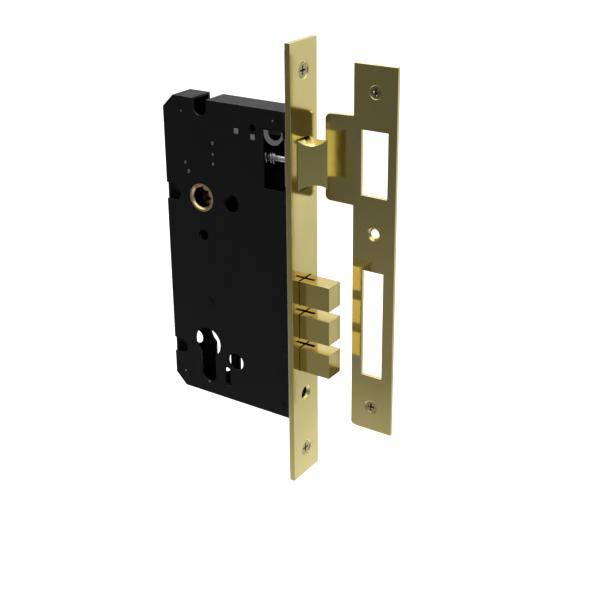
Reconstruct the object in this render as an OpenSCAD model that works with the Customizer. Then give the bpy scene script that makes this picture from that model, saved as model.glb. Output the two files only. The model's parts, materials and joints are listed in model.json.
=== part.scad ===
// Mortise lock with a three-block dead bolt, a sprung latch and its lipped strike plate.
// Origin: spindle axis on the mid-plane of the case. +X out of the door edge, +Z up.

/* [Layout] */
// Backset: spindle axis to the front of the faceplate
backset = 60; // [50:1:70]
// Spindle axis to cylinder axis
centres = 85; // [85:1:92]
// Height of the latch axis above the spindle
latch_z = 27; // [25:0.5:29]
// Depth of the middle dead bolt below the spindle
bolts_z = -61; // [-62:0.5:-60]
// Pitch of the three dead bolts
bolt_pitch = 19; // [18:0.5:21]

/* [Faceplate] */
// Width of the faceplate
face_w = 24; // [22:1:26]
// Height of the faceplate
face_h = 240; // [235:1:245]
// Thickness of the faceplate
face_t = 3; // [2.5:0.5:4]
// Thickness of the inner forend
forend_t = 1.5; // [1:0.5:2]
// Distance from each end of the faceplate to its screw
face_screw_inset = 15; // [12:1:20]

/* [Case] */
// Thickness of the case over both plates
case_t = 15; // [15:0.5:16]
// Height of the case
case_h = 170; // [165:1:175]
// Spindle axis to the rear edge of the case
case_back = 23.8; // [23:0.2:28]
// Sheet thickness of the case and its cover
sheet = 1.2; // [1:0.1:1.5]
// Corner cut at the rear of the case
case_cut = 6.8; // [5:0.2:8]

/* [Latch] */
// Thickness of the latch head
latch_w = 11; // [10:0.2:11]
// Height of the latch head
latch_h = 26.2; // [24:0.2:26.4]
// How far the latch stands out
latch_out = 10.6; // [10:0.2:11]
// Depth of the scoop in the latch's top
scoop_top = 3.3; // [2:0.1:3.6]
// Depth of the scoop in the latch's underside
scoop_base = 2.6; // [1.5:0.1:3]

/* [Dead bolts] */
// Thickness of each bolt block
bolt_w = 11; // [10:0.2:12]
// Height of each bolt block
bolt_h = 13.5; // [12:0.5:14]
// How far the dead bolts are thrown
bolt_out = 18; // [16:0.5:20]
// Length of each bolt block
bolt_l = 31; // [28:1:34]

/* [Follower] */
// Size of the square spindle hole
spindle = 8; // [8:0.1:9]
// Radius of the follower's boss
boss_r = 7.7; // [7.5:0.1:8]
// Radius of the shallow recess in each end of the boss
recess_r = 6; // [5.8:0.1:6.4]
// Largest turn of the follower, in degrees
follower_turn = 37; // [35:1:38]

/* [Strike] */
// Width of the strike plate without its lip
strike_w = 24.5; // [22:0.5:26]
// Height of the strike plate
strike_h = 200; // [190:1:210]
// Thickness of the strike plate
strike_t = 2; // [1.5:0.5:3]
// Length of the strike's lip
lip_l = 15; // [12:0.5:20]
// Height of the strike's lip
lip_h = 47; // [44:1:50]
// Front face of the strike, from the case's mid-plane
strike_y = 16; // [15:0.5:30]
// Inner edge of the strike, from the spindle axis
strike_x = 78.8; // [78.8:0.2:120]

/* [Hidden] */
$fn = 48;

black = [0.06, 0.06, 0.065];
brass = [0.80, 0.68, 0.36];
bronze = [0.78, 0.52, 0.24];
zinc = [0.72, 0.73, 0.74];
steel = [0.55, 0.56, 0.58];

play = 0.08;
gap = 0.4;
eps = 0.01;

// Case and faceplate extents
mid_z = (latch_z - 90) / 2;
face_x0 = backset - face_t;
case_x1 = face_x0 - forend_t;
case_x0 = -case_back;
case_z0 = mid_z - case_h / 2;
case_z1 = mid_z + case_h / 2;
face_z0 = mid_z - face_h / 2;
face_z1 = mid_z + face_h / 2;
case_y = case_t / 2;
inner_y = case_y - sheet;
screw_zs = [face_z1 - face_screw_inset, face_z0 + face_screw_inset];
cyl_screw_z = -centres - 17.5;
bolt_zs = [bolts_z + bolt_pitch, bolts_z, bolts_z - bolt_pitch];

// Holes for the door furniture, as [x, z, r]
rose_r = 5;
rose_z = -centres - 7;
rose_x = 19;
rose_holes = [[rose_x, 0, rose_r], [rose_x, rose_z, rose_r], [0, -21.3, 3.1]];
rear_notches = [[-rose_x, 0, 4.6], [-rose_x, rose_z, 4.3]];
top_notch = [0.6, case_z1 - 4.5, 4.4];

// Upright slot beside the cylinder
slot_x = 13.2;
slot_z = -103;
slot_r = 1.8;

// Euro profile cylinder opening
cyl_r = 8.6;
cyl_slot_r = 5.1;
cyl_slot_z = -centres - 24.4 + cyl_slot_r;

// Window in the cover that shows the latch spring
window_x0 = 40.4;
window_z0 = latch_z - 15;
window_z1 = latch_z + 16.6;

// Riveted pillars that join tray and cover, as [x, z]
pillar_r = 2.6;
pillar_end_r = 1.7;
pillars = [[-13.6, 47.3], [48, 46.6], [-14.5, -108.8], [49.2, -109.8]];
guide_post = [2.8, -59.4];

// Latch and its drive
shaft_r = 2.4;
latch_rear = case_x1 - 2;
latch_y0 = -6.2;
latch_y1 = latch_y0 + latch_w;
latch_mid_z = latch_z - 0.55;
yoke_t = 2;
arm_r = 17;
arm_tip_r = 2.4;
lug_x1 = -arm_tip_r - 0.1;
lug_t = 3;
clip_x = 43.4;
clip_t = 1;
guide_x0 = 15.5;
guide_t = 1.5;
guide_y0 = -inner_y + 0.1;
spring_wire = 0.9;
latch_spring_r = 3.7;
guide_tabs = [[23.7, 39.7], [33.9, 38]];
guide_tab = [1.4, 1.4];
guide_slot = [2, 1.8];

// Handle return spring
ear_l = 14;
ear_r = 2;
plunger_z = -13.5;
plunger_x0 = ear_r + 0.1;
plunger_flange = 1.9;
stem_r = 1.6;
seat_x0 = 36;
seat_t = 1.5;

// Dead bolt and carrier
bolt_x1 = backset + bolt_out;
bolt_x0 = bolt_x1 - bolt_l;
slot_w = 2.2;
slot_x1 = backset + bolt_out / 3;
carrier_t = 2;
carrier_x0 = -2.4;
carrier_z0 = -71.5;
carrier_z1 = -47.6;
finger_x1 = slot_x1 - 6;
rivet_r = 1.5;
rivet_x = bolt_x0 + 4;
notch_r = 2.6;

// Tumbler that the cylinder's cam lifts
tumbler_y0 = 1.6;
tumbler_t = 1.6;
tumbler_pivot_at = [-13, -52];
pivot_r = 2;
stump_r = 1.5;
stump_at = [6, -51.6];
stump_drop = 1.5;
tumbler_spring_x = 12;

// Strike
strike_x1 = strike_x + strike_w;
strike_z1 = 76.5;
strike_z0 = strike_z1 - strike_h;
strike_cx = (strike_x + strike_x1) / 2;
lip_z0 = 3;
lip_lead = 2.4;
lip_taper = 1;
strike_screw_zs = [63, -109.5];
strike_mid_hole_z = -10.5;

// A cylinder along +X from x0 to x1
module rod_x(r, x0, x1) {
    translate([x0, 0, 0])
        rotate([0, 90, 0])
            cylinder(r = r, h = x1 - x0);
}

// A cylinder along Y from y0 to y1, centred at [x, z]
module rod_y(r, y0, y1, at) {
    translate([at[0], y1, at[1]])
        rotate([90, 0, 0])
            cylinder(r = r, h = y1 - y0);
}

// A flat shape drawn in X and Z, as thick as y0 to y1
module plate_xz(y0, y1) {
    translate([0, y1, 0])
        rotate([90, 0, 0])
            linear_extrude(height = y1 - y0)
                children();
}

// A box given by its two corners
module box(a, b) {
    translate(a)
        cube(b - a);
}

// Two-dimensional bar with round ends between two points
module bar(a, b, r) {
    d = b - a;
    translate(a)
        circle(r = r);
    translate(b)
        circle(r = r);
    translate(a)
        rotate(atan2(d[1], d[0]))
            translate([0, -r])
                square([norm(d), 2 * r]);
}

// Helical wire along +Z
module coil(r, wire, length, turns, steps = 14, sides = 8) {
    n = turns * steps;
    rings = [for (i = [0:n]) [for (k = [0:sides - 1])
        let (a = 360 * i / steps, b = 360 * k / sides, q = r + wire / 2 * cos(b))
        [q * cos(a), q * sin(a), wire / 2 + (length - wire) * i / n + wire / 2 * sin(b)]]];
    walls = [for (i = [0:n - 1]) for (k = [0:sides - 1])
        let (k2 = (k + 1) % sides)
        [i * sides + k, (i + 1) * sides + k, (i + 1) * sides + k2, i * sides + k2]];
    first = [for (k = [0:sides - 1]) k];
    last = [for (k = [sides - 1:-1:0]) n * sides + k];
    polyhedron(points = [for (ring = rings) for (p = ring) p], faces = concat([first], walls, [last]));
}

// Countersunk screw along -X from its head at the origin, with a cross recess
module screw(head_r, shank_r, length) {
    difference() {
        union() {
            rotate([0, -90, 0])
                cylinder(r1 = head_r, r2 = shank_r, h = head_r - shank_r);
            rod_x(shank_r, -length, -0.5);
        }
        for (turn = [0, 90])
            rotate([turn, 0, 0])
                box([-1.6, -0.45, -head_r * 0.62], [1, 0.45, head_r * 0.62]);
    }
}

// Through hole with a countersink open towards +X, its mouth at x
module countersunk_hole(x, z, mouth_r, hole_r, through) {
    translate([x, 0, z]) {
        rod_x(hole_r, -through - 1, 1);
        rotate([0, -90, 0])
            translate([0, 0, -eps])
                cylinder(r1 = mouth_r, r2 = hole_r, h = mouth_r - hole_r);
    }
}

// Case outline, drawn smaller all round by inset
module case_outline(inset = 0) {
    cut = case_cut + inset * (sqrt(2) - 1);
    polygon([[case_x0 + inset, case_z0 + cut], [case_x0 + cut, case_z0 + inset],
        [case_x1, case_z0 + inset], [case_x1, case_z1 - inset],
        [case_x0 + cut, case_z1 - inset], [case_x0 + inset, case_z1 - cut]]);
}

module cylinder_opening() {
    translate([0, -centres])
        circle(r = cyl_r);
    translate([-cyl_slot_r, cyl_slot_z])
        square([2 * cyl_slot_r, -centres - cyl_slot_z]);
    translate([0, cyl_slot_z])
        circle(r = cyl_slot_r);
}

// The openings that pass through both plates
module furniture_openings() {
    circle(r = boss_r + play);
    for (h = rose_holes)
        translate([h[0], h[1]])
            circle(r = h[2]);
    bar([top_notch[0], top_notch[1]], [top_notch[0], top_notch[1] + 12], top_notch[2]);
    bar([slot_x, slot_z - 4], [slot_x, slot_z + 4], slot_r);
    cylinder_opening();
    for (p = concat(pillars, [guide_post]))
        translate(p)
            circle(r = pillar_end_r + play);
}

// Half-round notches at the rear edge of both plates, behind which the rim stays whole
module rear_openings() {
    for (n = rear_notches)
        bar([n[0], n[1]], [n[0] - 12, n[1]], n[2]);
}

// The latch and dead bolt openings of the faceplate and inner forend
module bolt_openings(x0, x1, clear) {
    box([x0, latch_y0 - clear, latch_mid_z - latch_h / 2 - clear],
        [x1, latch_y1 + clear, latch_mid_z + latch_h / 2 + clear]);
    for (z = bolt_zs)
        box([x0, -bolt_w / 2 - clear, z - bolt_h / 2 - clear],
            [x1, bolt_w / 2 + clear, z + bolt_h / 2 + clear]);
}

module faceplate() {
    color(brass)
        difference() {
            box([face_x0, -face_w / 2, face_z0], [backset, face_w / 2, face_z1]);
            bolt_openings(face_x0 - 1, backset + 1, gap);
            for (z = screw_zs)
                countersunk_hole(backset, z, 4.5, 2.7, face_t);
            countersunk_hole(backset, cyl_screw_z, 4.2, 2.75, face_t);
        }
}

module inner_forend() {
    color(zinc)
        difference() {
            box([case_x1, -10, face_z0 + 4], [face_x0, 10, face_z1 - 4]);
            bolt_openings(case_x1 - 1, face_x0 + 1, gap);
            for (z = screw_zs)
                translate([0, 0, z])
                    rod_x(2.2, case_x1 - 1, face_x0 + 1);
            translate([0, 0, cyl_screw_z])
                rod_x(2.75, case_x1 - 1, face_x0 + 1);
        }
}

module faceplate_screws() {
    color(steel)
        for (z = screw_zs)
            translate([backset - 0.5, 0, z])
                screw(3.9, 2.1, 8);
}

module case_tray() {
    color(black) {
        plate_xz(inner_y, case_y)
            difference() {
                case_outline();
                furniture_openings();
                intersection() {
                    rear_openings();
                    case_outline(sheet);
                }
                translate(tumbler_pivot_at)
                    circle(r = 1.2);
            }
        plate_xz(-inner_y, inner_y)
            difference() {
                case_outline();
                case_outline(sheet);
                translate([case_x1 - 1, case_z0 + sheet])
                    square([3, case_h - 2 * sheet]);
                furniture_openings();
            }
        difference() {
            box([seat_x0, -4, plunger_z - 4], [seat_x0 + seat_t, inner_y + eps, plunger_z + 4]);
            rod_x_at(stem_r + play, seat_x0 - 1, seat_x0 + seat_t + 1, plunger_z);
        }
        plate_xz(tumbler_y0 - 0.4, inner_y + eps)
            translate([tumbler_spring_x - 3, -36.6])
                square([6, 1.5]);
    }
}

module case_cover() {
    color(black)
        plate_xz(-case_y, -inner_y)
            difference() {
                case_outline();
                furniture_openings();
                rear_openings();
                translate([window_x0, window_z0])
                    square([case_x1 - window_x0 + 1, window_z1 - window_z0]);
                for (tab = guide_tabs)
                    translate(tab - guide_slot)
                        square(2 * guide_slot);
                translate([33.8, 42.6])
                    circle(r = 1.9);
            }
}

module case_pillars() {
    color(black)
        for (p = pillars) {
            rod_y(pillar_r, -inner_y, inner_y, p);
            rod_y(pillar_end_r, -case_y - 0.3, case_y + 0.3, p);
        }
}

module follower() {
    color(bronze)
        difference() {
            union() {
                rod_y(boss_r, -case_y - 0.3, case_y + 0.3, [0, 0]);
                rod_y(10.4, -inner_y + 0.3, inner_y - 0.3, [0, 0]);
                plate_xz(-4, 4)
                    bar([0, 0], [0, arm_r], arm_tip_r);
                plate_xz(-4, 4)
                    bar([0, 0], [0, -ear_l], ear_r);
            }
            for (y = [-case_y - 2, case_y - 0.6])
                rod_y(recess_r, y, y + 2.6, [0, 0]);
            for (turn = [0, 45])
                rotate([0, turn, 0])
                    box([-spindle / 2, -case_y - 2, -spindle / 2], [spindle / 2, case_y + 2, spindle / 2]);
        }
}

module handle_plunger() {
    color(zinc) {
        box([plunger_x0, -5.9, plunger_z - 3], [plunger_x0 + plunger_flange, 5.9, plunger_z + 2.9]);
        rod_x_at(stem_r, plunger_x0 + 1, seat_x0 + seat_t + 3, plunger_z);
    }
}

module handle_spring() {
    x0 = plunger_x0 + plunger_flange + 0.05;
    color(steel)
        translate([x0, 0, plunger_z])
            rotate([0, 90, 0])
                coil(2.45, 0.8, seat_x0 - 0.05 - x0, 11);
}

// Round scoop that rises from the middle of the sloping face to the far corner of the latch's root
module latch_scoop(side, depth) {
    chord = norm([latch_out, latch_w]);
    slope = atan2(latch_w, latch_out);
    reach = latch_w * cos(slope);
    tilt = atan2(depth, reach);
    rise = depth * cos(tilt);
    scoop_r = (chord * chord / 4 + rise * rise) / (2 * rise);
    translate([backset, latch_y1, latch_mid_z + side * latch_h / 2])
        rotate([0, side * tilt, slope - 90])
            translate([-10, 0, side * scoop_r])
                rod_x(scoop_r, 0, 40);
}

module latch_head() {
    color(brass)
        difference() {
            translate([0, 0, latch_mid_z - latch_h / 2])
                linear_extrude(height = latch_h)
                    polygon([[latch_rear, latch_y0], [backset, latch_y0], [backset + latch_out, latch_y1],
                        [latch_rear, latch_y1]]);
            latch_scoop(1, scoop_top);
            latch_scoop(-1, scoop_base);
            rod_x_at(shaft_r, latch_rear - 1, latch_rear + 6.5, latch_z);
        }
}

module rod_x_at(r, x0, x1, z) {
    translate([0, 0, z])
        rod_x(r, x0, x1);
}

module latch_tail() {
    color(zinc) {
        rod_x_at(shaft_r, lug_x1 - 1, latch_rear + 6.5, latch_z);
        box([lug_x1 - lug_t, -4, 12.2], [lug_x1, 4, latch_z + 4]);
    }
}

module latch_yoke() {
    color(zinc)
        difference() {
            box([latch_rear - yoke_t, -4.9, latch_mid_z - 12.5], [latch_rear, 4.7, latch_mid_z + 12.5]);
            rod_x_at(shaft_r, latch_rear - yoke_t - 1, latch_rear + 1, latch_z);
        }
}

module latch_clip() {
    color(steel)
        difference() {
            rod_x_at(4.2, clip_x, clip_x + clip_t, latch_z);
            rod_x_at(shaft_r, clip_x - 1, clip_x + clip_t + 1, latch_z);
        }
}

module latch_spring() {
    x0 = guide_x0 + guide_t + 0.05;
    color(zinc)
        translate([x0, 0, latch_z])
            rotate([0, 90, 0])
                coil(latch_spring_r, spring_wire, clip_x - 0.05 - x0, 9);
}

// Plated bracket: rear seat of the latch spring, tabs through the cover and a strap in its window
module latch_guide() {
    strap_at = [46.5, 41.2];
    color(zinc)
        difference() {
            union() {
                box([guide_x0, guide_y0, latch_z - 5.5], [guide_x0 + guide_t, inner_y - 0.2, 43]);
                box([guide_x0, guide_y0, 34.6], [40.1, guide_y0 + 1, 43]);
                box([40, guide_y0, 40.7], [52, guide_y0 + 1, 43]);
                for (tab = guide_tabs)
                    box([tab[0] - guide_tab[0], -case_y + 0.1, tab[1] - guide_tab[1]],
                        [tab[0] + guide_tab[0], guide_y0 + 0.5, tab[1] + guide_tab[1]]);
                plate_xz(-case_y + 0.1, -inner_y + 0.05)
                    strap_outline(strap_at);
                plate_xz(-inner_y - 0.1, guide_y0 + 0.1)
                    intersection() {
                        strap_outline(strap_at);
                        translate([40, 40.7])
                            square([14, 4]);
                    }
            }
            rod_x_at(shaft_r + play, guide_x0 - 1, guide_x0 + guide_t + 1, latch_z);
            rod_y(1.9, -inner_y - 1, -inner_y + 3, [33.8, 42.6]);
        }
}

// A hanging U, thicker on its left leg
module strap_outline(at) {
    difference() {
        bar(at, at + [0, 8], 5.7);
        bar(at + [1, 1], at + [1, 8], 4);
        translate([at[0] - 9, at[1] + 1.6])
            square([20, 16]);
    }
}

module bolt_block(z) {
    color(brass)
        difference() {
            box([bolt_x0, -bolt_w / 2, z - bolt_h / 2], [bolt_x1, bolt_w / 2, z + bolt_h / 2]);
            box([bolt_x0 - 1, -slot_w / 2, z - bolt_h], [slot_x1, slot_w / 2, z + bolt_h]);
            rod_y(rivet_r, -bolt_w, bolt_w, [rivet_x, z]);
        }
}

module bolt_upper() {
    bolt_block(bolt_zs[0]);
}

module bolt_middle() {
    bolt_block(bolt_zs[1]);
}

module bolt_lower() {
    bolt_block(bolt_zs[2]);
}

module bolt_carrier() {
    spine_x0 = bolt_x0 - 14;
    color(zinc)
        plate_xz(-carrier_t / 2, carrier_t / 2)
            difference() {
                union() {
                    translate([spine_x0, bolt_zs[2] - 5])
                        square([11, bolt_zs[0] - bolt_zs[2] + 10]);
                    for (z = bolt_zs)
                        translate([spine_x0, z - 5])
                            square([finger_x1 - spine_x0, 10]);
                    translate([carrier_x0, carrier_z0])
                        square([spine_x0 - carrier_x0 + 1, carrier_z1 - carrier_z0]);
                }
                bar(guide_post, guide_post + [bolt_out + 0.4, 0], pillar_r + play);
                bar(stump_at, stump_at + [bolt_out, 0], stump_r + 0.2);
                for (x = [0, bolt_out / 2, bolt_out])
                    bar(stump_at + [x, 0], stump_at + [x, -stump_drop - 0.1], stump_r + 0.2);
                for (x = [0, bolt_out / 2])
                    bar([x + bolt_out / 4, carrier_z0 - 2], [x + bolt_out / 4, carrier_z0 + 1.6], notch_r);
                for (z = bolt_zs)
                    translate([rivet_x, z])
                        circle(r = rivet_r);
            }
}

module bolt_rivets() {
    color(steel)
        for (z = bolt_zs)
            rod_y(rivet_r, -bolt_w / 2, bolt_w / 2, [rivet_x, z]);
}

module bolt_guide_post() {
    color(steel) {
        rod_y(pillar_r, -inner_y, inner_y, guide_post);
        rod_y(pillar_end_r, -case_y - 0.3, case_y + 0.3, guide_post);
    }
}

// Lever over the cylinder: its stump drops into the carrier's notches, its horn meets the cam
module tumbler() {
    horn_r = 14;
    color(zinc) {
        plate_xz(tumbler_y0, tumbler_y0 + tumbler_t)
            difference() {
                union() {
                    bar(tumbler_pivot_at, [tumbler_spring_x, -50], 3.6);
                    polygon([[-16.4, -53], [-18.6, -72], [-18.6, -79], [7, -79], [7, -68.2],
                        [-7.5, -66], [-9.4, -54]]);
                }
                translate([0, -centres])
                    circle(r = horn_r);
                translate(tumbler_pivot_at)
                    circle(r = pivot_r + play);
            }
        rod_y(stump_r, -carrier_t / 2, tumbler_y0 + tumbler_t / 2, stump_at);
    }
}

module tumbler_pivot() {
    color(steel) {
        rod_y(pivot_r, tumbler_y0 - 0.5, inner_y, tumbler_pivot_at);
        rod_y(1.2, inner_y, case_y, tumbler_pivot_at);
    }
}

module tumbler_spring() {
    spring_z0 = -46.3;
    spring_z1 = -36.65;
    color(steel)
        translate([tumbler_spring_x, tumbler_y0 + tumbler_t / 2 + 0.4, spring_z0])
            coil(1.7, 0.6, spring_z1 - spring_z0, 6);
}

// The lip leans forward from the plate and narrows a little at its lower edge
module strike_lip() {
    corner = 3;
    end_x = strike_x - lip_l;
    end_y = strike_y - lip_lead;
    end_z0 = lip_z0 + lip_taper;
    end_z1 = lip_z0 + lip_h;
    intersection() {
        translate([0, 0, lip_z0 - 1])
            linear_extrude(height = lip_h + 2)
                polygon([[strike_x + 1, strike_y], [strike_x, strike_y], [end_x, end_y],
                    [end_x, end_y + strike_t], [strike_x, strike_y + strike_t],
                    [strike_x + 1, strike_y + strike_t]]);
        plate_xz(strike_y - 6, strike_y + 6)
            union() {
                polygon([[strike_x + 1, lip_z0], [end_x + corner, end_z0], [end_x, end_z0 + corner],
                    [end_x, end_z1 - corner], [end_x + corner, end_z1], [strike_x + 1, end_z1]]);
                for (z = [end_z0 + corner, end_z1 - corner])
                    translate([end_x + corner, z])
                        circle(r = corner);
            }
    }
}

module strike_plate() {
    latch_hole = [83.4, 9.4, 15, 34];
    bolt_hole = [84.8, -91.2, 12.2, 60];
    corner = [4.2, 2];
    color(brass)
        difference() {
            union() {
                plate_xz(strike_y, strike_y + strike_t)
                    polygon(concat([[strike_x, strike_z1], [strike_x1, strike_z1], [strike_x1, strike_z0]],
                        [for (a = [270:-15:180])
                            [strike_x + corner[0] * (1 + cos(a)), strike_z0 + corner[1] * (1 + sin(a))]]));
                strike_lip();
            }
            for (h = [latch_hole, bolt_hole])
                box([h[0], strike_y - 1, h[1]], [h[0] + h[2], strike_y + strike_t + 1, h[1] + h[3]]);
            for (z = concat(strike_screw_zs, [strike_mid_hole_z]))
                translate([strike_cx, strike_y, z])
                    rotate([0, 0, -90])
                        countersunk_hole(0, 0, 3.6, 2.2, strike_t);
        }
}

module strike_screws() {
    color(steel)
        for (z = strike_screw_zs)
            translate([strike_cx, strike_y + 0.25, z])
                rotate([0, 0, -90])
                    screw(3.3, 1.8, 14);
}

faceplate();
inner_forend();
faceplate_screws();
case_tray();
case_cover();
case_pillars();
follower();
handle_plunger();
handle_spring();
latch_head();
latch_tail();
latch_yoke();
latch_clip();
latch_spring();
latch_guide();
bolt_upper();
bolt_middle();
bolt_lower();
bolt_carrier();
bolt_rivets();
bolt_guide_post();
tumbler();
tumbler_pivot();
tumbler_spring();
strike_plate();
strike_screws();
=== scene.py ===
"""Looks for the mortise lock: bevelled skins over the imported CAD, procedural metals, soft studio."""

import json
import math

import bmesh
import bpy
from mathutils import Matrix, Vector

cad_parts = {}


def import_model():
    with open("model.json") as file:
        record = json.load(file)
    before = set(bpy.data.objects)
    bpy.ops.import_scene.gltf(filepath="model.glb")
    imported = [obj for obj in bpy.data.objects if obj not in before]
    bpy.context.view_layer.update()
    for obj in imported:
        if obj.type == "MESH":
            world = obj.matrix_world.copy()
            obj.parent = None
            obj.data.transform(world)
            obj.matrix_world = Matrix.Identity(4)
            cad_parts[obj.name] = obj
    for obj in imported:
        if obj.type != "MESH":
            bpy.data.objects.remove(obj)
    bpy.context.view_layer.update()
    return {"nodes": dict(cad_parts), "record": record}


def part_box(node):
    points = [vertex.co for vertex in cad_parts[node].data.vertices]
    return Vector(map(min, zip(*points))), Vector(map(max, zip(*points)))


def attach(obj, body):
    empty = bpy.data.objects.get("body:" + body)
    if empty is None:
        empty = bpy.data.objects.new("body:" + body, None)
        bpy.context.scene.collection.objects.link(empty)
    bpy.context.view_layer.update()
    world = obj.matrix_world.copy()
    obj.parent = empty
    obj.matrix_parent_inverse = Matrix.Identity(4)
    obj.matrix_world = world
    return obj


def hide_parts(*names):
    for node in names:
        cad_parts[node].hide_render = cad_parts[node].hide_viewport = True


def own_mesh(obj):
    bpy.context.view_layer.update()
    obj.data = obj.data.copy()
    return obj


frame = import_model()
NODES = frame["nodes"]
BODY = {node: body for body, nodes in frame["record"]["behaviour"]["bodies"].items() for node in nodes}
SLOT = {part["node"]: part["material_slot"] for part in frame["record"]["subparts"]}
MM = 0.001


def color_sockets(sockets):
    """The colour sockets of a Mix node, which share their names with its other types."""
    return [s for s in sockets if s.type == "RGBA"]


# ---------------------------------------------------------------- materials
class Tree:
    """Small helper round a material's node tree."""

    def __init__(self, name):
        self.mat = bpy.data.materials.new(name)
        self.mat.use_nodes = True
        self.tree = self.mat.node_tree
        self.bsdf = self.tree.nodes["Principled BSDF"]
        self.coord = self.tree.nodes.new("ShaderNodeTexCoord").outputs["Object"]

    def node(self, kind, **values):
        n = self.tree.nodes.new(kind)
        for key, value in values.items():
            if key in n.inputs:
                n.inputs[key].default_value = value
            else:
                setattr(n, key, value)
        return n

    def link(self, source, target):
        self.tree.links.new(source, target)

    def stretched(self, scale):
        m = self.node("ShaderNodeMapping")
        m.inputs["Scale"].default_value = scale
        self.link(self.coord, m.inputs["Vector"])
        return m.outputs["Vector"]

    def noise(self, vector, scale, detail=3.0, rough=0.55):
        n = self.node("ShaderNodeTexNoise", Scale=scale, Detail=detail, Roughness=rough)
        self.link(vector, n.inputs["Vector"])
        return n.outputs["Fac"]

    def ramp(self, fac, low, high, a=0.0, b=1.0):
        """Maps fac from low..high to a..b, clamped."""
        n = self.node("ShaderNodeMapRange")
        n.inputs["From Min"].default_value = low
        n.inputs["From Max"].default_value = high
        n.inputs["To Min"].default_value = a
        n.inputs["To Max"].default_value = b
        self.link(fac, n.inputs["Value"])
        return n.outputs["Result"]

    def mix(self, fac, a, b):
        n = self.node("ShaderNodeMix", data_type="RGBA")
        for socket, value in zip(color_sockets(n.inputs), (a, b)):
            if hasattr(value, "is_linked"):
                self.link(value, socket)
            else:
                socket.default_value = (*value, 1)
        self.link(fac, n.inputs["Factor"])
        return color_sockets(n.outputs)[0]

    def add(self, a, b):
        n = self.node("ShaderNodeMath", operation="ADD")
        self.link(a, n.inputs[0])
        self.link(b, n.inputs[1])
        return n.outputs["Value"]

    def bump(self, height, strength, distance):
        n = self.node("ShaderNodeBump", Strength=strength, Distance=distance)
        self.link(height, n.inputs["Height"])
        self.link(n.outputs["Normal"], self.bsdf.inputs["Normal"])


DRIFT = (0.3, 0.7)  # the part of a noise's range that its ramps use


def metal(name, low, high, rough, grain, grain_scale, grain_bump, smear=0.05):
    """Plated or polished metal: slow colour drift, rubbed patches and fine lines.

    The colour drifts between low and high. The lines run along the axis of grain's smallest number.
    """
    m = Tree(name)
    m.bsdf.inputs["Metallic"].default_value = 1.0
    slow = m.noise(m.coord, 28.0, 4.0)
    m.link(m.mix(m.ramp(slow, *DRIFT), low, high), m.bsdf.inputs["Base Color"])
    lines = m.noise(m.stretched(grain), grain_scale, 2.0, 0.6)
    patches = m.noise(m.coord, 75.0, 5.0, 0.65)
    rubbed = m.ramp(patches, 0.3, 0.75, rough - smear / 2, rough + smear)
    m.link(m.add(rubbed, m.ramp(lines, *DRIFT, -0.02, 0.03)), m.bsdf.inputs["Roughness"])
    m.bump(lines, grain_bump, 0.00002)
    return m.mat


def coated(name, low, high, rough, specular):
    """Satin black coating: fine orange peel, a few rubbed places."""
    m = Tree(name)
    slow = m.noise(m.coord, 22.0, 5.0, 0.6)
    m.link(m.mix(m.ramp(slow, *DRIFT), low, high), m.bsdf.inputs["Base Color"])
    patches = m.noise(m.coord, 60.0, 5.0)
    m.link(m.ramp(patches, *DRIFT, rough - 0.05, rough + 0.07), m.bsdf.inputs["Roughness"])
    m.bsdf.inputs["Specular IOR Level"].default_value = specular
    peel = m.noise(m.coord, 1500.0, 2.0, 0.5)
    m.bump(peel, 0.18, 0.00006)
    return m.mat


# Directions of the grain: lines along Z, along X, coarser along X, along Y, and no direction
UPRIGHT = (60, 60, 1)
LEVEL = (1, 60, 60)
COARSE_LEVEL = (1, 40, 40)
THROUGH = (30, 1, 30)
PLAIN = (1, 1, 1)

BRASS = metal("brass_plate", (0.585, 0.497, 0.205), (0.645, 0.550, 0.235), 0.12, UPRIGHT, 120.0, 0.05)
BRASS_LATCH = metal("brass_latch", (0.56, 0.495, 0.200), (0.62, 0.545, 0.225), 0.16, UPRIGHT, 120.0, 0.06)
BRASS_BOLT = metal("brass_bolt", (0.56, 0.455, 0.165), (0.62, 0.510, 0.195), 0.15, LEVEL, 120.0, 0.07)
BLACK = coated("black_coat", (0.0052, 0.0060, 0.0056), (0.0075, 0.0085, 0.0080), 0.55, 0.09)
# Lighter, glossier black on the tray's and cover's rounded edges: painted highlight
BLACK_EDGE_HIGHLIGHT = coated("black_edge_painted_highlight", (0.010, 0.011, 0.011), (0.020, 0.021, 0.020), 0.32, 0.5)
# Grey metal on the cover's pips: painted glints
PIP_PAINTED_GLINT = metal("pip_painted_glint", (0.10, 0.105, 0.11), (0.26, 0.27, 0.27), 0.28, PLAIN, 500.0, 0.10, 0.10)
ZINC = metal("zinc_plate", (0.40, 0.41, 0.42), (0.50, 0.51, 0.51), 0.30, COARSE_LEVEL, 90.0, 0.10)
NICKEL = metal("nickel_plate", (0.66, 0.66, 0.64), (0.76, 0.76, 0.74), 0.16, COARSE_LEVEL, 90.0, 0.05)
BRONZE = metal("bronze_cast", (0.60, 0.42, 0.20), (0.70, 0.52, 0.28), 0.24, THROUGH, 90.0, 0.10, 0.10)
# Near-black bronze: painted shade for the deep walls of the follower's hole and for its arms
BRONZE_PAINTED_SHADE = metal("bronze_painted_shade", (0.035, 0.022, 0.012), (0.075, 0.045, 0.022), 0.50, THROUGH, 90.0, 0.15,
                    0.10)
SCREW = metal("screw_plate", (0.34, 0.30, 0.17), (0.46, 0.40, 0.24), 0.26, PLAIN, 400.0, 0.08)
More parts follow.
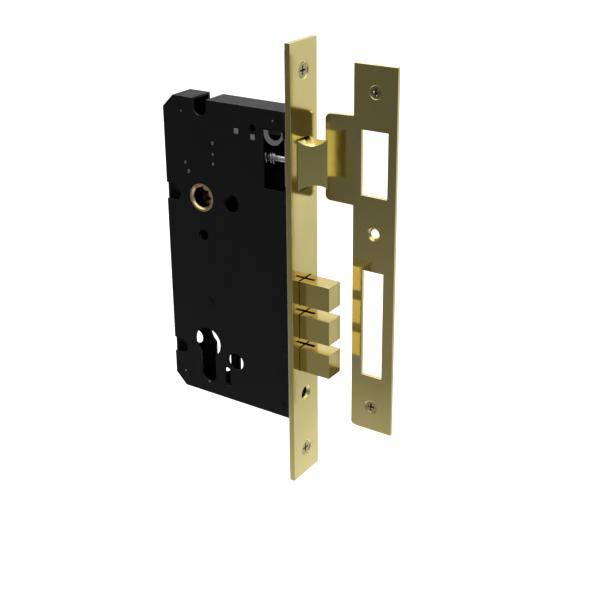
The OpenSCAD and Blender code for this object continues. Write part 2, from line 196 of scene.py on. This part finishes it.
# Dark metal on the walls of the screws' recesses: painted shade
RECESS_PAINTED_SHADE = metal("screw_recess_painted_shade", (0.055, 0.045, 0.028), (0.10, 0.085, 0.05), 0.45, PLAIN, 400.0, 0.10)
SCREW_BRASS = metal("screw_brass", (0.42, 0.31, 0.16), (0.56, 0.43, 0.24), 0.24, PLAIN, 400.0, 0.08)
SHADED = metal("guide_shaded", (0.030, 0.032, 0.034), (0.060, 0.062, 0.064), 0.45, COARSE_LEVEL, 90.0, 0.10)
SPRING = metal("spring_wire", (0.50, 0.50, 0.49), (0.66, 0.66, 0.64), 0.18, PLAIN, 500.0, 0.05)
LOOK = {
    "brass_polished": BRASS, "black_coat": BLACK, "zinc_plate": ZINC, "nickel_rod": NICKEL,
    "bronze_cast": BRONZE, "screw_steel": SCREW, "spring_wire": SPRING,
}


# ---------------------------------------------------------------- meshes
# Angles in degrees: edges past HARD_EDGE are rounded, edges past SHARP_SHADING are shaded as corners
HARD_EDGE = 28
SHARP_SHADING = 32
SHARP_SHADING_COIL = 60


def add_piece(name, bm, node, material, zones=(), sharp=SHARP_SHADING):
    """Makes the object that stands for a CAD node and its body's motion."""
    me = bpy.data.meshes.new(name)
    bm.to_mesh(me)
    bm.free()
    obj = bpy.data.objects.new(name, me)
    bpy.context.scene.collection.objects.link(obj)
    me.materials.append(material)
    for index, (zone_material, test) in enumerate(zones, 1):
        me.materials.append(zone_material)
        for face in me.polygons:
            if test(face.center, face.normal):
                face.material_index = index
    for face in me.polygons:
        face.use_smooth = True
    me.set_sharp_from_angle(angle=math.radians(sharp))
    weighted = obj.modifiers.new("weighted", "WEIGHTED_NORMAL")
    weighted.weight = 100
    weighted.keep_sharp = True
    weighted.thresh = 0.01
    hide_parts(node)
    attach(obj, BODY[node])
    return obj


def skin(node, width, segments, material=None, zones=(), tweak=None, extra=None):
    """A welded copy of a CAD node with its hard edges rounded to width mm, standing for the node.

    zones holds (material, test) pairs: a face that passes test(centre, normal) takes that material.
    tweak(bm) adjusts the welded mesh before its edges are rounded, extra(bm) adds detail afterwards.
    """
    bm = bmesh.new()
    bm.from_mesh(NODES[node].data)
    bmesh.ops.remove_doubles(bm, verts=bm.verts, dist=1e-6)
    bmesh.ops.dissolve_limit(bm, angle_limit=math.radians(0.6), verts=bm.verts, edges=bm.edges,
                             delimit={"NORMAL"})
    bmesh.ops.remove_doubles(bm, verts=bm.verts, dist=2e-6)
    if tweak:
        tweak(bm)
    hard = [e for e in bm.edges if len(e.link_faces) == 2 and e.calc_face_angle(0) > math.radians(HARD_EDGE)]
    bmesh.ops.bevel(bm, geom=hard, offset=width * MM, offset_type="OFFSET", segments=segments,
                    profile=0.5, affect="EDGES", clamp_overlap=True, miter_outer="SHARP")
    if extra:
        extra(bm)
    return add_piece(node + "_skin", bm, node, material or LOOK[SLOT[node]], zones)


# The follower's hole, in mm from its axis and its mid-plane
BORE_MOUTH_R = 6.0
BORE_WALL_R = 5.9
BORE_POINTS_R = 5.7
MOUTH_Y = 7.5
POINTS_Y = 6.0
BORE_SHADE_Y = 4.6
MOUTH_FLARE = 1.11
POINTS_FLARE = 1.04
# The walls below this height near the mouth catch light and are left out of the painted shade, in mm from
# the axis
LIT_BELOW_Z = -1.5
# The follower's arm lies outside this radius and takes painted shade, in mm
ARM_R = 8.2
# The guide's strap and tabs stand in front of this plane, in mm
GUIDE_FRONT_Y = -6.3
# A face is a side wall when its normal's part along the piece's axis is under this
WALL = 0.6
COVER_FACE_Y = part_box("case_cover")[0].y

# Half-sheared pips and stake marks on the cover: x, z and radius in mm
PIPS = [
    (8.3, 31, 0.9), (8.3, 25, 0.7), (8.3, 19.7, 0.8), (-8.1, 13.2, 1.0), (-10.2, 17.9, 0.8),
    (0.2, -109.4, 0.7), (-11.6, 45.6, 0.6), (-16.8, -107.2, 0.6), (46.4, 48.0, 0.6),
]


def open_mouth(bm):
    """Flares both mouths of the spindle hole and cuts its walls where the painted shade begins."""
    for v in bm.verts:
        r = math.hypot(v.co.x, v.co.z) / MM
        y = abs(v.co.y) / MM
        flare = 1.0
        if abs(r - BORE_MOUTH_R) < 0.03 and y > MOUTH_Y:
            flare = MOUTH_FLARE
        elif r < BORE_POINTS_R and y > POINTS_Y:
            flare = POINTS_FLARE
        v.co.x *= flare
        v.co.z *= flare
    for side in (-1, 1):
        bmesh.ops.bisect_plane(bm, geom=bm.verts[:] + bm.edges[:] + bm.faces[:], dist=1e-7,
                               plane_co=(0, side * BORE_SHADE_Y * MM, 0), plane_no=(0, 1, 0))


def in_deep_bore_painted_shade(c, n):
    """True on the hole's walls, apart from the upward ones near its mouth: these walls take painted shade.
    """
    wall = math.hypot(c.x, c.z) < BORE_WALL_R * MM and abs(n.y) < WALL
    lit = n.z > 0.3 and c.z < LIT_BELOW_Z * MM and abs(c.y) > BORE_SHADE_Y * MM
    return wall and not lit


# The arm outside the boss takes painted shade
def on_follower_arm_painted_shade(c, n):
    return math.hypot(c.x, c.z) > ARM_R * MM


# The rounded edges, which take the painted highlight
def on_rounded_edge_painted_highlight(c, n):
    return 0.25 < abs(n.y) < 0.92


# The pips' faces, which take the painted glints
def on_pip(c, n):
    return c.y < COVER_FACE_Y - 0.03 * MM


# The side walls of a screw's recess, which take painted shade
def in_recess_painted_shade_x(c, n):
    return abs(n.x) < WALL


def in_recess_painted_shade_y(c, n):
    return abs(n.y) < WALL


def behind_guide_front(c, n):
    return c.y > GUIDE_FRONT_Y * MM


def cover_pips(bm):
    """Adds pips that stand a little proud of the cover's outer face."""
    for x, z, r in PIPS:
        centre = Matrix.Translation((x * MM, COVER_FACE_Y + 0.02 * MM, z * MM))
        place = centre @ Matrix.Diagonal((1, 0.5, 1, 1))
        bmesh.ops.create_uvsphere(bm, u_segments=20, v_segments=12, radius=r * MM, matrix=place)


# ---------------------------------------------------------------- springs
SPRING_TURNS = {"handle_spring": 11.5, "latch_spring": 9.5, "tumbler_spring": 6.5}
STEPS_PER_TURN = 28
WIRE_SIDES = 12
CLOSED_TURNS = 1.0  # close-wound coils at each end


def coil(node, axis, wire_mm):
    """A compression spring in the node's box: close-wound end coils, open middle."""
    lo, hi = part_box(node)
    along = "xyz".index(axis)
    across = [i for i in range(3) if i != along]
    wire = wire_mm * MM
    radius = min(hi[i] - lo[i] for i in across) / 2 - wire / 2
    travel = hi[along] - lo[along] - wire
    turns = SPRING_TURNS[node]
    u, v, w = Vector(), Vector(), Vector()
    u[across[0]] = 1
    v[across[1]] = 1
    w[along] = 1
    base = (lo + hi) / 2
    base[along] = lo[along] + wire / 2

    def height(t):
        """How far along the spring its wire is after t turns."""
        if t < CLOSED_TURNS:
            return wire * t
        if t > turns - CLOSED_TURNS:
            return travel - wire * (turns - t)
        return wire + (travel - 2 * wire) * (t - CLOSED_TURNS) / (turns - 2 * CLOSED_TURNS)

    bm = bmesh.new()
    rings = []
    steps = int(turns * STEPS_PER_TURN)
    for i in range(steps + 1):
        t = turns * i / steps
        angle = 2 * math.pi * t
        out = u * math.cos(angle) + v * math.sin(angle)
        centre = base + out * radius + w * height(t)
        ring = []
        for k in range(WIRE_SIDES):
            b = 2 * math.pi * k / WIRE_SIDES
            ring.append(bm.verts.new(centre + (out * math.cos(b) + w * math.sin(b)) * wire / 2))
        rings.append(ring)
    for a, b in zip(rings, rings[1:]):
        for k in range(WIRE_SIDES):
            after = (k + 1) % WIRE_SIDES
            bm.faces.new((a[k], a[after], b[after], b[k]))
    bm.faces.new(rings[0][::-1])
    bm.faces.new(rings[-1])
    bmesh.ops.recalc_face_normals(bm, faces=bm.faces)
    return add_piece(node + "_wire", bm, node, SPRING, sharp=SHARP_SHADING_COIL)


def shorten(spring):
    """Gives the spring its own copy of its mesh; its coils are left as they are."""
    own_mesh(spring)


# ---------------------------------------------------------------- pieces
skin("faceplate", 0.35, 3)
skin("inner_forend", 0.15, 2)
skin("faceplate_screws", 0.12, 2, zones=[(RECESS_PAINTED_SHADE, in_recess_painted_shade_x)])
skin("case_tray", 0.25, 2, zones=[(BLACK_EDGE_HIGHLIGHT, on_rounded_edge_painted_highlight)])
skin("case_cover", 0.22, 2, extra=cover_pips, zones=[(BLACK_EDGE_HIGHLIGHT, on_rounded_edge_painted_highlight), (PIP_PAINTED_GLINT, on_pip)])
skin("case_pillars", 0.15, 2)
# The follower's deep hole walls and arms take near-black bronze as painted shade
skin("follower", 0.2, 2, tweak=open_mouth,
     zones=[(BRONZE_PAINTED_SHADE, in_deep_bore_painted_shade), (BRONZE_PAINTED_SHADE, on_follower_arm_painted_shade)])
skin("handle_plunger", 0.2, 2)
skin("latch_head", 0.3, 3, BRASS_LATCH)
skin("latch_tail", 0.25, 2)
skin("latch_yoke", 0.2, 2)
skin("latch_clip", 0.15, 2)
skin("latch_guide", 0.15, 2, zones=[(SHADED, behind_guide_front)])
for block in ("bolt_upper", "bolt_middle", "bolt_lower"):
    skin(block, 0.35, 3, BRASS_BOLT)
skin("bolt_carrier", 0.15, 2)
skin("bolt_rivets", 0.15, 2)
skin("bolt_guide_post", 0.15, 2, BLACK)
skin("tumbler", 0.15, 2)
skin("tumbler_pivot", 0.15, 2)
skin("strike_plate", 0.3, 3)
skin("strike_screws", 0.12, 2, SCREW_BRASS, zones=[(RECESS_PAINTED_SHADE, in_recess_painted_shade_y)])
shorten(coil("latch_spring", "x", 0.9))
shorten(coil("handle_spring", "x", 0.8))
coil("tumbler_spring", "z", 0.6)


# ---------------------------------------------------------------- studio
FLOOR_Z = -0.34
FLOOR_SIZE = 24
FLOOR_CENTRE_Y = 6

# The floor's plain white, then its greys with the metres of Y or X between which each blends:
# in front, where the case's side of the metal sees it, and at +X, where the faceplate sees it
WHITE = (0.86, 0.86, 0.86)
FRONT_GREYS = ((0.092, 0.092, 0.089), (0.168, 0.168, 0.163))
FRONT_BLEND_Y = (-0.95, -0.45)
REAR_BLEND_Y = (-0.40, 0.0)
FAR_GREYS = ((0.42, 0.43, 0.43), (0.60, 0.61, 0.60))
FAR_BLEND_X = (0.34, 0.72)
SIDE_BLEND_X = (0.14, 0.32)

# Light of the world in front of the part, behind it and above it, and the directions between which it blends
DIM, BEHIND, ABOVE = 0.30, 1.05, 1.75
BEHIND_BLEND_Y = (-0.45, 0.25)
ABOVE_BLEND_Z = (0.40, 0.70)

# The lamp: place, aim and size in metres, power in watts
KEY_AT = (-0.5, 0.7, 1.1)
KEY_AIM = (0.03, 0, 0)
KEY_SIZE = 0.9
KEY_POWER = 9


def stage_floor():
    """Pale floor that goes grey where only the metal sees it: towards -Y in front, and a little at +X."""
    bpy.ops.mesh.primitive_grid_add(x_subdivisions=40, y_subdivisions=40, size=FLOOR_SIZE,
                                    location=(0, FLOOR_CENTRE_Y, FLOOR_Z))
    floor = bpy.context.object
    floor.name = "studio_floor"
    m = Tree("studio_floor")
    m.bsdf.inputs["Roughness"].default_value = 0.9
    m.bsdf.inputs["Specular IOR Level"].default_value = 0.1
    sep = m.node("ShaderNodeSeparateXYZ")
    geo = m.node("ShaderNodeNewGeometry")
    m.link(geo.outputs["Position"], sep.inputs["Vector"])
    x = sep.outputs["X"]
    y = m.add(sep.outputs["Y"], m.ramp(m.noise(m.coord, 3.0), *DRIFT, -0.004, 0.004))
    front = m.mix(m.ramp(y, *FRONT_BLEND_Y), *FRONT_GREYS)
    far = m.mix(m.ramp(x, *FAR_BLEND_X), *FAR_GREYS)
    side = m.mix(m.ramp(x, *SIDE_BLEND_X), WHITE, far)
    m.link(m.mix(m.ramp(y, *REAR_BLEND_Y), front, side), m.bsdf.inputs["Base Color"])
    floor.data.materials.append(m.mat)


def world():
    """Bright above and behind, dim in front, as a white cove seen from the camera's side."""
    w = bpy.data.worlds.new("studio")
    bpy.context.scene.world = w
    w.use_nodes = True
    tree = w.node_tree
    coord = tree.nodes.new("ShaderNodeTexCoord")
    axes = tree.nodes.new("ShaderNodeSeparateXYZ")
    tree.links.new(coord.outputs["Generated"], axes.inputs["Vector"])

    def fade(axis, low, high):
        n = tree.nodes.new("ShaderNodeMapRange")
        n.interpolation_type = "SMOOTHSTEP"
        n.inputs["From Min"].default_value = low
        n.inputs["From Max"].default_value = high
        tree.links.new(axes.outputs[axis], n.inputs["Value"])
        return n.outputs["Result"]

    def blend(fac, a, b):
        n = tree.nodes.new("ShaderNodeMix")
        n.data_type = "RGBA"
        tree.links.new(fac, n.inputs["Factor"])
        for socket, value in zip(color_sockets(n.inputs), (a, b)):
            if hasattr(value, "is_linked"):
                tree.links.new(value, socket)
            else:
                socket.default_value = (value, value, value, 1)
        return color_sockets(n.outputs)[0]

    level = blend(fade("Y", *BEHIND_BLEND_Y), DIM, BEHIND)
    light = blend(fade("Z", *ABOVE_BLEND_Z), level, ABOVE)
    tree.links.new(light, tree.nodes["Background"].inputs["Color"])


def key_light():
    """A broad soft lamp, above and behind."""
    data = bpy.data.lights.new("key_above", "AREA")
    data.shape = "RECTANGLE"
    data.size = KEY_SIZE
    data.size_y = KEY_SIZE
    data.energy = KEY_POWER
    lamp = bpy.data.objects.new("key_above", data)
    bpy.context.scene.collection.objects.link(lamp)
    lamp.location = KEY_AT
    lamp.rotation_mode = "QUATERNION"
    lamp.rotation_quaternion = (Vector(KEY_AIM) - Vector(KEY_AT)).to_track_quat("-Z", "Y")


# The fitted camera: a square image, its focal length and centre in pixels, and angles in degrees
IMAGE_PX = 600
FOCAL_PX = 1109.0
CENTRE_PX = (292.4, 228.8)
SENSOR_MM = 36
AZIMUTH, ELEVATION, ROLL = 33.90, 20.47, -0.67
CAMERA_AT = (0.3497, -0.4424, 0.1892)


def camera():
    az, el, roll = (math.radians(a) for a in (AZIMUTH, ELEVATION, ROLL))
    back = Vector((math.sin(az) * math.cos(el), -math.cos(az) * math.cos(el), math.sin(el)))
    forward = -back
    level_right = forward.cross(Vector((0, 0, 1))).normalized()
    level_up = level_right.cross(forward)
    right = level_right * math.cos(roll) + level_up * math.sin(roll)
    up = level_up * math.cos(roll) - level_right * math.sin(roll)
    data = bpy.data.cameras.new("camera")
    data.sensor_width = SENSOR_MM
    data.lens = FOCAL_PX / IMAGE_PX * SENSOR_MM
    data.shift_x = (IMAGE_PX / 2 - CENTRE_PX[0]) / IMAGE_PX
    data.shift_y = (CENTRE_PX[1] - IMAGE_PX / 2) / IMAGE_PX
    data.clip_start = 0.01
    data.clip_end = 60
    obj = bpy.data.objects.new("camera", data)
    bpy.context.scene.collection.objects.link(obj)
    turn = Matrix((right, up, back)).transposed()
    obj.matrix_world = Matrix.Translation(CAMERA_AT) @ turn.to_4x4()
    bpy.context.scene.camera = obj


stage_floor()
world()
key_light()
camera()
bpy.context.scene.view_settings.view_transform = "Standard"
